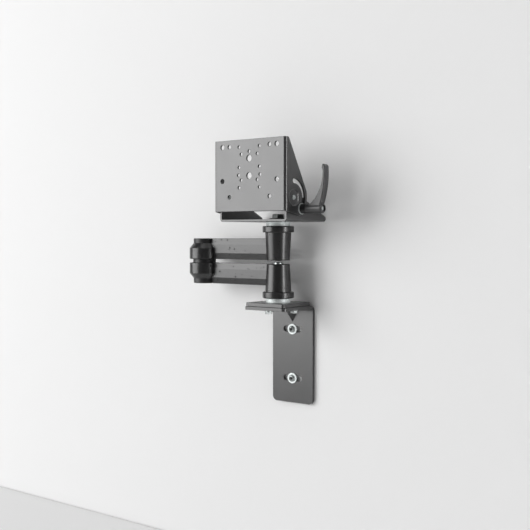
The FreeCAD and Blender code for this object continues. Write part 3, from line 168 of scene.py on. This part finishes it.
class Shader:
    """Node material that is written as expressions."""

    def __init__(self, name: str) -> None:
        """Start an empty node material.

        Args:
            name: Name of the material.
        """
        self.material = bpy.data.materials.new(name)
        self.material.use_nodes = True
        self.tree = self.material.node_tree
        self.tree.nodes.clear()

    def _add(
        self,
        kind: str,
        settings: dict[str, object],
        inputs: dict[str | int, object],
    ) -> bpy.types.Node:
        """Add a node.

        Args:
            kind: Blender's type name of the node.
            settings: Node properties, which are set before the sockets.
            inputs: Values or links of the input sockets, by name or number.

        Returns:
            The node.
        """
        made = self.tree.nodes.new(kind)
        for key, setting in settings.items():
            setattr(made, key, setting)
        for key, given in inputs.items():
            if isinstance(given, Wave):
                self.tree.links.new(given.socket, made.inputs[key])
            else:
                made.inputs[key].default_value = given
        return made

    def node(
        self,
        kind: str,
        settings: dict[str, object] | None = None,
        inputs: dict[str | int, object] | None = None,
        output: str | int = 0,
    ) -> Wave:
        """Add a node of a type, with its settings and inputs, and return the chosen output."""
        return Wave(self, self._add(kind, settings or {}, inputs or {}).outputs[output])

    def math(self, how: Operation, *numbers: Wave | float) -> Wave:
        """Return what an operation makes of one or two numbers."""
        return self.node("ShaderNodeMath", {"operation": how.value}, dict(enumerate(numbers)))

    def clamp(self, number: Wave) -> Wave:
        """Return a number held between 0 and 1."""
        return self.node("ShaderNodeClamp", None, {"Value": number}, "Result")

    def mix(self, first: Colour | Wave, second: Colour | Wave, share: Wave) -> Wave:
        """Blend two colours.

        Args:
            first: Colour where share is 0.
            second: Colour where share is 1.
            share: Share of the second colour.

        Returns:
            The blended colour.
        """
        shades = [shade if isinstance(shade, Wave) else (*shade, 1.0) for shade in (first, second)]
        sockets = {MIX_SHARE: share, MIX_FIRST: shades[0], MIX_SECOND: shades[1]}
        return self.node("ShaderNodeMix", {"data_type": "RGBA"}, sockets, MIX_RESULT)

    def places(self) -> Wave:
        """Return the coordinates of the surface in the object's frame."""
        return self.node("ShaderNodeTexCoord", None, None, "Object")

    def noise(self, grain: Grain) -> Wave:
        """Return cloudy noise, a number about its middle of 0.5.

        Args:
            grain: Size and layers of the noise.

        Returns:
            The noise.
        """
        sockets = {
            "Vector": self.places(),
            "Scale": 1.0 / grain.size,
            "Detail": grain.layers,
            "Roughness": grain.strength,
        }
        return self.node("ShaderNodeTexNoise", None, sockets, "Fac")

    def specks(self, spacing: float, reach: float) -> Wave:
        """Return sparse round specks.

        Args:
            spacing: Distance between specks in metres.
            reach: Radius of a speck as a share of the spacing.

        Returns:
            1 inside a speck and 0 outside.
        """
        sockets = {"Vector": self.places(), "Scale": 1.0 / spacing, "Randomness": 1.0}
        distance = self.node("ShaderNodeTexVoronoi", None, sockets, "Distance")
        return self.clamp((reach - distance) * (SPECK_SHARPNESS / reach))

    def threshold(self, number: Wave, low: float, high: float) -> Wave:
        """Return a number stretched so that low becomes 0 and high becomes 1."""
        return self.clamp((number - low) * (1.0 / (high - low)))

    def soft_normal(self, radius: float) -> Wave:
        """Return the surface's normal with its edges rounded off to a radius in metres."""
        return self.node("ShaderNodeBevel", {"samples": BEVEL_SAMPLES}, {"Radius": radius})

    def edge(self, radius: float) -> Wave:
        """Mask the sharp edges of a surface.

        Args:
            radius: Distance in metres within which the mask falls off.

        Returns:
            1 on sharp edges and 0 away from them.
        """
        plain = self.node("ShaderNodeNewGeometry", None, None, "Normal")
        both = {0: self.soft_normal(radius), 1: plain}
        likeness = self.node("ShaderNodeVectorMath", {"operation": "DOT_PRODUCT"}, both, "Value")
        return self.clamp((1.0 - likeness) * EDGE_GAIN)

    def bump(self, height: Wave, relief: Relief, normal: Wave) -> Wave:
        """Return a normal that is made uneven by a height from 0 to 1."""
        sockets = {"Height": height, "Distance": relief.depth, "Strength": relief.share, "Normal": normal}
        return self.node("ShaderNodeBump", None, sockets)

    def close(self, surface: Wave) -> bpy.types.Material:
        """Link a surface to the material's output and return the material."""
        self._add("ShaderNodeOutputMaterial", {}, {"Surface": surface})
        return self.material

    def finish(self, **sockets: object) -> bpy.types.Material:
        """Close the material with a principled surface, its sockets named with underscores for spaces."""
        named = {key.replace("_", " "): given for key, given in sockets.items()}
        return self.close(self.node("ShaderNodeBsdfPrincipled", None, named, "BSDF"))


@dataclass(frozen=True)
class PowderCoat:
    """Satin black powder coat on folded sheet steel."""

    name: str = "powder_coat"
    tint: Colour = (0.012, 0.012, 0.0125)
    rubbed: Colour = (0.022, 0.022, 0.023)
    worn: Colour = (0.06, 0.06, 0.063)
    shine: float = 1.0
    gloss: float = 0.31
    peel_grain: Grain = Grain(0.0011, 2.0)
    peel_sway: float = 0.06
    peel_relief: Relief = Relief(0.00006, 0.35)
    cloud_grain: Grain = Grain(0.03, 4.0)
    cloud_band: Pair = (0.35, 0.8)
    cloud_share: float = 0.4
    cloud_sway: float = 0.10
    scuff_grain: Grain = Grain(0.004, 5.0, 0.65)
    scuff_band: Pair = (0.56, 0.72)
    scuff_wear: float = 0.5
    scuff_dulling: float = 0.03
    edge_wear: float = 0.35
    edge_reach: float = 0.0007

    def build(self) -> bpy.types.Material:
        """Mix the coat.

        Returns:
            The coat with its fine peel, cloudy sheen and rubbed edges.
        """
        shader = Shader(self.name)
        peel = shader.noise(self.peel_grain)
        cloud = shader.noise(self.cloud_grain)
        scuff = shader.threshold(shader.noise(self.scuff_grain), *self.scuff_band)
        edge = shader.edge(self.edge_reach)
        rubbing = shader.threshold(cloud, *self.cloud_band) * self.cloud_share
        tone = shader.mix(self.tint, self.rubbed, rubbing)
        shade = shader.mix(tone, self.worn, edge * (self.edge_wear + scuff * self.scuff_wear))
        dulling = scuff * self.scuff_dulling
        rough = self.gloss + cloud.sway(self.cloud_sway) + peel.sway(self.peel_sway) + dulling
        normal = shader.bump(peel, self.peel_relief, shader.soft_normal(self.edge_reach))
        return shader.finish(
            Base_Color=shade, Roughness=rough, Specular_IOR_Level=self.shine, Normal=normal
        )


@dataclass(frozen=True)
class CastCoat:
    """Satin black paint on a slightly rough casting, with small chips."""

    name: str = "cast_coat"
    tint: Colour = (0.0025, 0.0025, 0.0027)
    dusty: Colour = (0.006, 0.006, 0.0064)
    chip: Colour = (0.004, 0.004, 0.004)
    shine: float = 0.76
    gloss: float = 0.30
    skin_grain: Grain = Grain(0.0018, 4.0, 0.6)
    skin_band: Pair = (0.5, 0.75)
    skin_share: float = 0.5
    skin_sway: float = 0.10
    skin_height: float = 0.8
    broad_grain: Grain = Grain(0.016)
    broad_sway: float = 0.06
    broad_height: float = 0.3
    chip_spacings: Pair = (0.011, 0.007)
    chip_reaches: Pair = (0.15, 0.14)
    chip_dulling: float = 0.5
    chip_depth: float = 0.4
    relief: Relief = Relief(0.00016, 0.14)
    edge_share: float = 0.4
    edge_reach: float = 0.0009

    def build(self) -> bpy.types.Material:
        """Mix the paint.

        Returns:
            The paint with the casting's skin and a few dark chips.
        """
        shader = Shader(self.name)
        skin = shader.noise(self.skin_grain)
        broad = shader.noise(self.broad_grain)
        large, small = map(shader.specks, self.chip_spacings, self.chip_reaches)
        chips = shader.clamp(large + small)
        edge = shader.edge(self.edge_reach)
        dust = shader.threshold(skin, *self.skin_band) * self.skin_share + edge * self.edge_share
        shade = shader.mix(shader.mix(self.tint, self.dusty, dust), self.chip, chips)
        dulling = chips * self.chip_dulling
        rough = self.gloss + skin.sway(self.skin_sway) + broad.sway(self.broad_sway) + dulling
        height = skin * self.skin_height + broad * self.broad_height - chips * self.chip_depth
        normal = shader.bump(height, self.relief, shader.soft_normal(self.edge_reach))
        return shader.finish(
            Base_Color=shade, Roughness=rough, Specular_IOR_Level=self.shine, Normal=normal
        )


@dataclass(frozen=True)
class ZincPlate:
    """Bright zinc plate on turned steel, with fine turning marks and a faint haze."""

    name: str = "zinc"
    bright: Colour = (0.50, 0.53, 0.525)
    dull: Colour = (0.40, 0.425, 0.42)
    metal: float = 0.9
    gloss: float = 0.27
    haze_grain: Grain = Grain(0.006, 4.0, 0.6)
    haze_band: Pair = (0.35, 0.75)
    haze_sway: float = 0.2
    mark_stretch: Place = (300.0, 300.0, 4000.0)
    mark_layers: float = 2.0
    mark_sway: float = 0.1
    mark_relief: Relief = Relief(0.00003, 0.25)
    edge_reach: float = 0.0003

    def build(self) -> bpy.types.Material:
        """Mix the plate.

        Returns:
            The plate with its haze and turning marks.
        """
        shader = Shader(self.name)
        haze = shader.noise(self.haze_grain)
        stretch = {"Vector": shader.places(), "Scale": self.mark_stretch}
        stretched = shader.node("ShaderNodeMapping", None, stretch)
        lines = {"Vector": stretched, "Scale": 1.0, "Detail": self.mark_layers}
        marks = shader.node("ShaderNodeTexNoise", None, lines, "Fac")
        shade = shader.mix(self.bright, self.dull, shader.threshold(haze, *self.haze_band))
        rough = self.gloss + haze.sway(self.haze_sway) + marks.sway(self.mark_sway)
        normal = shader.bump(marks, self.mark_relief, shader.soft_normal(self.edge_reach))
        return shader.finish(Base_Color=shade, Metallic=self.metal, Roughness=rough, Normal=normal)


@dataclass(frozen=True)
class ScrewZinc:
    """Zinc plate on screw heads whose middle and rim differ, with painted shade in one of them and a
    painted highlight in the lever screw's middle.
    """

    name: str
    middle: Colour
    rim: Colour
    axes: tuple[str, str]
    centre: Pair
    middle_radius: float
    fade: float = 0.0008
    metal: float = 0.9
    gloss: float = 0.30
    haze_grain: Grain = Grain(0.002)
    haze_sway: float = 0.15
    edge_reach: float = 0.0003

    def build(self) -> bpy.types.Material:
        """Mix the plate.

        Returns:
            The plate, with the middle's colour round the screw's axis and round its mirror images.
        """
        shader = Shader(self.name)
        places = shader.places()
        squares = []
        for axis, middle in zip(self.axes, self.centre):
            along = shader.node("ShaderNodeSeparateXYZ", None, {0: places}, axis)
            aside = abs(along) - abs(middle)
            squares.append(aside * aside)
        # Distance from the screw's axis; it parts the middle from the rim, where the painted shade and
        # the painted highlight lie.
        radius = (squares[0] + squares[1]) ** 0.5
        rim = shader.threshold(radius, self.middle_radius, self.middle_radius + self.fade)
        shade = shader.mix(self.middle, self.rim, rim)
        rough = self.gloss + shader.noise(self.haze_grain).sway(self.haze_sway)
        normal = shader.soft_normal(self.edge_reach)
        return shader.finish(Base_Color=shade, Metallic=self.metal, Roughness=rough, Normal=normal)


@dataclass(frozen=True)
class BlackOxide:
    """Dull black oxide on small steel fasteners."""

    name: str = "black_oxide"
    tint: Colour = (0.010, 0.010, 0.0105)
    worn: Colour = (0.05, 0.05, 0.05)
    gloss: float = 0.38
    haze_grain: Grain = Grain(0.003, 4.0, 0.6)
    haze_band: Pair = (0.3, 0.6)
    haze_sway: float = 0.2
    haze_relief: Relief = Relief(0.00004, 0.3)
    edge_reach: float = 0.0003

    def build(self) -> bpy.types.Material:
        """Mix the oxide.

        Returns:
            The oxide with bare metal showing on the edges.
        """
        shader = Shader(self.name)
        haze = shader.noise(self.haze_grain)
        wear = shader.edge(self.edge_reach) * shader.threshold(haze, *self.haze_band)
        shade = shader.mix(self.tint, self.worn, wear)
        rough = self.gloss + haze.sway(self.haze_sway)
        normal = shader.bump(haze, self.haze_relief, shader.soft_normal(self.edge_reach))
        return shader.finish(Base_Color=shade, Roughness=rough, Normal=normal)


@dataclass(frozen=True)
class CapPlastic:
    """Matt black moulded plastic with a fine spark-eroded grain."""

    name: str = "cap_plastic"
    tint: Colour = (0.009, 0.009, 0.0095)
    dusty: Colour = (0.016, 0.016, 0.0165)
    gloss: float = 0.42
    spark_grain: Grain = Grain(0.0007)
    spark_sway: float = 0.12
    spark_relief: Relief = Relief(0.00006, 0.4)
    dust_grain: Grain = Grain(0.012)
    dust_band: Pair = (0.4, 0.8)
    edge_reach: float = 0.0005

    def build(self) -> bpy.types.Material:
        """Mix the plastic.

        Returns:
            The plastic with its grain.
        """
        shader = Shader(self.name)
        spark = shader.noise(self.spark_grain)
        dust = shader.threshold(shader.noise(self.dust_grain), *self.dust_band)
        shade = shader.mix(self.tint, self.dusty, dust)
        rough = self.gloss + spark.sway(self.spark_sway)
        normal = shader.bump(spark, self.spark_relief, shader.soft_normal(self.edge_reach))
        return shader.finish(Base_Color=shade, Roughness=rough, Normal=normal)


@dataclass(frozen=True)
class LeverCoat:
    """Finely textured black coat on the die-cast lever."""

    name: str = "lever_coat"
    tint: Colour = (0.011, 0.011, 0.0118)
    rubbed: Colour = (0.03, 0.03, 0.0315)
    shine: float = 0.86
    gloss: float = 0.42
    coat_grain: Grain = Grain(0.0009, 3.0, 0.6)
    coat_sway: float = 0.18
    coat_relief: Relief = Relief(0.0001, 0.45)
    hand_grain: Grain = Grain(0.01)
    hand_band: Pair = (0.45, 0.8)
    hand_share: float = 0.2
    edge_share: float = 0.5
    edge_reach: float = 0.0008

    def build(self) -> bpy.types.Material:
        """Mix the coat.

        Returns:
            The coat with its texture and hand-rubbed edges.
        """
        shader = Shader(self.name)
        coat = shader.noise(self.coat_grain)
        hand = shader.threshold(shader.noise(self.hand_grain), *self.hand_band)
        wear = shader.edge(self.edge_reach) * self.edge_share + hand * self.hand_share
        shade = shader.mix(self.tint, self.rubbed, wear)
        rough = self.gloss + coat.sway(self.coat_sway)
        normal = shader.bump(coat, self.coat_relief, shader.soft_normal(self.edge_reach))
        return shader.finish(
            Base_Color=shade, Roughness=rough, Specular_IOR_Level=self.shine, Normal=normal
        )


PALE_ZINC = ZincPlate(
    "pale_zinc", bright=(0.80, 0.845, 0.84), dull=(0.70, 0.74, 0.735), metal=0.42, gloss=0.55
)
GREY_ZINC = ZincPlate(
    "grey_zinc", bright=(0.27, 0.285, 0.28), dull=(0.17, 0.18, 0.178), metal=0.9, gloss=0.36
)
SOFT_ZINC = ZincPlate(
    "soft_zinc", bright=(0.62, 0.65, 0.645), dull=(0.50, 0.53, 0.525), metal=0.6, gloss=0.42
)
# Near-black copy of the zinc for the head's bolt: painted shade for the shadow that it lies in inside the
# tray.
PAINTED_SHADE_BOLT_ZINC = ZincPlate(
    "painted_shade_zinc", bright=(0.07, 0.074, 0.073), dull=(0.045, 0.048, 0.047), metal=0.9, gloss=0.36
)
# Near-black colour of painted shade: in the wall screws' cross recesses and round the lever screw's head.
PAINTED_SCREW_SHADE: Colour = (0.025, 0.025, 0.026)
# Wall screws: their middle is painted dark as the shade in the cross recess.
CROSSED_SCREW = ScrewZinc(
    "wall_screw_zinc_painted_shade",
    middle=PAINTED_SCREW_SHADE,
    rim=(0.38, 0.405, 0.40),
    axes=("X", "Z"),
    centre=(0.0, WALL_SCREW_RISE),
    middle_radius=0.0021,
)
# Lever's screw: its pale middle is a painted highlight, and its rim is painted dark as the shade in its
# cup.
DOMED_SCREW = ScrewZinc(
    "lever_screw_zinc_painted_glint",
    middle=(0.85, 0.88, 0.875),
    rim=PAINTED_SCREW_SHADE,
    axes=("Y", "Z"),
    centre=LEVER_AXIS,
    middle_radius=0.0026,
)
OWN_FINISHES = {
    PALE_ZINC: ("lower_spacer", "upper_spacer", "wall_washers"),
    GREY_ZINC: ("base_bolts",),
    SOFT_ZINC: ("clamp_washer",),
    PAINTED_SHADE_BOLT_ZINC: ("head_bolt",),
    CROSSED_SCREW: ("wall_screws",),
    DOMED_SCREW: ("lever_screw",),
}


class Finishes:
    """All finishes of the mount, built once and shared by its pieces."""

    def __init__(self) -> None:
        """Build every finish."""
        makers = (PowderCoat(), CastCoat(), ZincPlate(), BlackOxide(), CapPlastic(), LeverCoat())
        self.by_slot = {maker.name: maker.build() for maker in makers}
        self.by_node: dict[str, bpy.types.Material] = {}
        for maker, nodes in OWN_FINISHES.items():
            self.by_node |= dict.fromkeys(nodes, maker.build())
        self.slots = {entry["node"]: entry["material_slot"] for entry in frame["record"]["subparts"]}

    def put_on(self, node: str) -> None:
        """Give a solid its own finish, or else the one that the record names for it.

        Args:
            node: Name of the solid.
        """
        finish = self.by_node.get(node, self.by_slot[self.slots[node]])
        solid = frame["nodes"][node]
        solid.data.materials.clear()
        solid.data.materials.append(finish)
        LOG.info("%s wears %s", node, finish.name)


def loft(name: str, rings: list[list[Place]]) -> bpy.types.Object:
    """Join rings of points into one closed tube.

    Args:
        name: Name of the tube.
        rings: Points of each ring, as many in each.

    Returns:
        The tube, capped by its first and last ring.
    """
    size = len(rings[0])
    last = (len(rings) - 1) * size
    sides = [tuple(reversed(range(size))), tuple(range(last, last + size))]
    for first in range(0, last, size):
        for corner in range(size):
            beside = (corner + 1) % size
            sides.append((first + corner, first + beside, first + size + beside, first + size + corner))
    mesh = bpy.data.meshes.new(name)
    mesh.from_pydata([point for ring in rings for point in ring], [], sides)
    tube = bpy.data.objects.new(name, mesh)
    bpy.context.collection.objects.link(tube)
    return tube


@dataclass
class SubAssembly:
    """Solids of the mount that belong together."""

    nodes: tuple[str, ...]

    def dress(self, finishes: Finishes) -> None:
        """Give each solid its finish."""
        for node in self.nodes:
            finishes.put_on(node)


@dataclass
class WallStand(SubAssembly):
    """Folded bracket on the wall with its screws, the base plate and the lower pivot."""

    nodes: tuple[str, ...] = (
        "wall_bracket",
        "wall_screws",
        "wall_washers",
        "base_plate",
        "base_bolts",
        "base_bolt_washers",
        "lower_spacer",
        "lower_pivot_bolt",
        "lower_pivot_nut",
    )
    screw_rise: float = WALL_SCREW_RISE
    shank_radius: float = 0.00275
    shank_end: float = 0.032
    point_length: float = 0.006
    thread_start: float = 0.0015
    thread_end: float = 0.0305
    thread_pitch: float = 0.0024
    thread_height: float = 0.0005
    thread_sink: float = 0.000125
    thread_foot: float = 0.0011
    steps_per_turn: int = 32

    def dress(self, finishes: Finishes) -> None:
        """Give each solid its finish and wind the threads of the wall screws.

        Args:
            finishes: Finishes of the mount.
        """
        super().dress(finishes)
        for name, rise in (("upper", self.screw_rise), ("lower", -self.screw_rise)):
            thread = self._thread(f"{name}_screw_thread", rise)
            thread.data.materials.append(finishes.by_slot["zinc"])
            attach(thread, "wall_mount")
            LOG.info("%s runs round its shank", thread.name)

    def _core(self, deep: float) -> float:
        """Return the radius of a wall screw at a depth behind the wall's face."""
        return self.shank_radius * min(1.0, (self.shank_end - deep) / self.point_length)

    def _thread(self, name: str, rise: float) -> bpy.types.Object:
        """Wind a wood-screw thread round one wall screw.

        Args:
            name: Name of the thread.
            rise: Height of the screw's axis.

        Returns:
            The thread, which fades out at both ends.
        """
        length = self.thread_end - self.thread_start
        count = round(length / self.thread_pitch * self.steps_per_turn)
        half_foot = self.thread_foot / 2.0
        rings = []
        for step in range(count + 1):
            deep = self.thread_start + length * step / count
            turn = 2.0 * math.pi * step / self.steps_per_turn
            fade = min(1.0, step / self.steps_per_turn, (count - step) / self.steps_per_turn)
            root = self._core(deep) - self.thread_sink
            crest = self._core(deep) + self.thread_height * fade
            ring = []
            for reach, shift in ((root, -half_foot), (crest, 0.0), (root, half_foot)):
                ring.append((reach * math.cos(turn), deep + shift, rise + reach * math.sin(turn)))
            rings.append(ring)
        return loft(name, rings)


@dataclass
class SwingArms(SubAssembly):
    """The two cast arms with the elbow between them."""

    nodes: tuple[str, ...] = (
        "lower_arm",
        "lower_hub_cap",
        "elbow_spacer",
        "elbow_bolt",
        "elbow_nut",
        "upper_arm",
        "upper_hub_cap",
    )


@dataclass
class TiltHead(SubAssembly):
    """Tray on the upper arm and the bracket that tilts on it."""

    nodes: tuple[str, ...] = (
        "upper_spacer",
        "head_tray",
        "head_washer",
        "head_bolt",
        "head_nut",
        "tilt_bracket",
        "pivot_screws",
        "pivot_nuts",
    )


@dataclass
class ClampLever(SubAssembly):
    """Clamping lever with its toothed insert, spring and screw."""

    nodes: tuple[str, ...] = (
        "clamp_washer",
        "clamp_nut",
        "clamp_insert",
        "lever_screw",
        "lever_spring",
        "lever_handle",
    )
    spring_wire: float = 0.0007
    spring_turns: int = 5
    steps_per_turn: int = 36
    wire_sides: int = 12
    lift: float = 0.0035
    lift_spare: float = 0.0001

    def dress(self, finishes: Finishes) -> None:
        """Give each solid its finish and wind the spring.

        Args:
            finishes: Finishes of the mount.
        """
        super().dress(finishes)
        low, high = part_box("lever_spring")
        spring = self._spring(low, high)
        spring.data.materials.append(finishes.by_slot["zinc"])
        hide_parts("lever_spring")
        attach(spring, "clamp")
        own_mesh(spring)
        LOG.info("%s is wound and gives way to the lever", spring.name)

    def _spring(self, low: Vector, high: Vector) -> bpy.types.Object:
        """Wind the spring round the lever's screw.

        Args:
            low: Lowest corner of its room.
            high: Highest corner of its room.

        Returns:
            The spring, one round wire with even turns.
        """
        wire = self.spring_wire / 2.0
        coil = (high[2] - low[2]) / 2.0 - wire
        middle = ((low[1] + high[1]) / 2.0, (low[2] + high[2]) / 2.0)
        count = self.spring_turns * self.steps_per_turn
        rings = []
        for step in range(count + 1):
            turn = 2.0 * math.pi * step / self.steps_per_turn
            along = low[0] + wire + (high[0] - low[0] - self.spring_wire) * step / count
            ring = []
            for side in range(self.wire_sides):
                round_wire = 2.0 * math.pi * side / self.wire_sides
                reach = coil + wire * math.cos(round_wire)
                ring.append((
                    along + wire * math.sin(round_wire),
                    middle[0] + reach * math.sin(turn),
                    middle[1] + reach * math.cos(turn),
                ))
            rings.append(ring)
        spring = loft("wound_spring", rings)
        spring.data.shade_smooth()
        return spring


@dataclass(frozen=True)
class Softbox:
    """Rectangular studio lamp."""

    name: str
    place: Place
    aim: Place
    width: float
    height: float
    power: float

    def build(self) -> None:
        """Add the lamp and turn it to its aim."""
        lamp = bpy.data.lights.new(self.name, "AREA")
        lamp.shape = "RECTANGLE"
        lamp.size = self.width
        lamp.size_y = self.height
        lamp.energy = self.power
        holder = bpy.data.objects.new(self.name, lamp)
        holder.location = self.place
        ahead = Vector(self.aim) - Vector(self.place)
        holder.rotation_euler = ahead.to_track_quat("-Z", "Y").to_euler()
        bpy.context.collection.objects.link(holder)


KEY_SOFTBOX = Softbox(
    "key_softbox",
    place=(-2.756, -3.108, 0.99),
    aim=(-0.02, -0.06, 0.16),
    width=3.9,
    height=2.68,
    power=160.0,
)
CEILING_SOFTBOX = Softbox(
    "ceiling_softbox", place=(0.3, -1.0, 2.1), aim=(0.0, -0.05, 0.15), width=1.4, height=1.2, power=8.0
)
RIGHT_STRIP = Softbox(
    "right_strip", place=(1.6, -0.02, 0.30), aim=(0.0, -0.06, 0.16), width=0.34, height=1.1, power=18.0
)


@dataclass
class Studio:
    """Pale wall and floor, seen from their front only, with soft lamps."""

    wall_reach: float = 4.0
    floor_reach: float = 3.0
    floor_height: float = -0.34
    wall_gap: float = 0.0006
    clear_reach: float = 0.004
    wall_colour: Colour = (0.80, 0.80, 0.80)
    sky: float = 0.15
    lamps: tuple[Softbox, ...] = (KEY_SOFTBOX, CEILING_SOFTBOX, RIGHT_STRIP)

    def build(self) -> None:
        """Add the wall, the floor, the lamps and the sky."""
        paint = self._paint()
        square = [(-1.0, -1.0), (1.0, -1.0), (1.0, 1.0), (-1.0, 1.0)]
        wall = [(self.wall_reach * across, self.wall_gap, self.wall_reach * up) for across, up in square]
        reach = self.floor_reach
        ground = [(reach * across, reach * deep, self.floor_height) for across, deep in square]
        for name, corners in (("studio_wall", wall), ("studio_floor", ground)):
            mesh = bpy.data.meshes.new(name)
            mesh.from_pydata(corners, [], [(0, 1, 2, 3)])
            mesh.materials.append(paint)
            sheet = bpy.data.objects.new(name, mesh)
            bpy.context.collection.objects.link(sheet)
        for lamp in self.lamps:
            lamp.build()
        self._set_sky()
        bpy.context.scene.view_settings.view_transform = "Standard"

    def _set_sky(self) -> None:
        """Fill the room with dim white light from all sides."""
        world = bpy.data.worlds.new("studio_sky")
        world.use_nodes = True
        backdrop = world.node_tree.nodes["Background"]
        backdrop.inputs["Color"].default_value = (1.0, 1.0, 1.0, 1.0)
        backdrop.inputs["Strength"].default_value = self.sky
        bpy.context.scene.world = world

    def _paint(self) -> bpy.types.Material:
        """Mix the paint of the wall and the floor.

        Returns:
            Matt pale paint that is clear from behind and to what lies against it.
        """
        shader = Shader("studio_paint")
        matt = shader.node("ShaderNodeBsdfDiffuse", None, {"Color": (*self.wall_colour, 1.0)})
        clear = shader.node("ShaderNodeBsdfTransparent")
        behind = shader.node("ShaderNodeNewGeometry", None, None, "Backfacing")
        length = shader.node("ShaderNodeLightPath", None, None, "Ray Length")
        share = shader.clamp(behind + (length < self.clear_reach))
        return shader.close(shader.node("ShaderNodeMixShader", None, {0: share, 1: matt, 2: clear}))


@dataclass(frozen=True)
class PhotoCamera:
    """Camera at the viewing angle and distance of the photograph."""

    place: Place = (0.8265, -1.1645, 0.1848)
    azimuth: float = 37.23
    pitch: float = 1.81
    lens: float = 61.46
    sensor: float = 36.0
    nearest: float = 0.01

    def build(self) -> None:
        """Add the camera and make it the scene's own."""
        turn, dip = math.radians(self.azimuth), math.radians(self.pitch)
        ahead = Vector((-math.sin(turn) * math.cos(dip), math.cos(turn) * math.cos(dip), -math.sin(dip)))
        camera = bpy.data.cameras.new("photo_camera")
        camera.lens = self.lens
        camera.sensor_width = self.sensor
        camera.clip_start = self.nearest
        holder = bpy.data.objects.new("photo_camera", camera)
        turned = ahead.to_track_quat("-Z", "Y").to_matrix().to_4x4()
        holder.matrix_world = Matrix.Translation(self.place) @ turned
        bpy.context.collection.objects.link(holder)
        bpy.context.scene.camera = holder


def main() -> None:
    """Dress the mount and set up the studio and the camera."""
    logging.basicConfig(level=logging.INFO, format="%(name)s: %(message)s")
    finishes = Finishes()
    for assembly in (WallStand(), SwingArms(), TiltHead(), ClampLever()):
        assembly.dress(finishes)
    Studio().build()
    PhotoCamera().build()


if __name__ == "__main__":
    main()
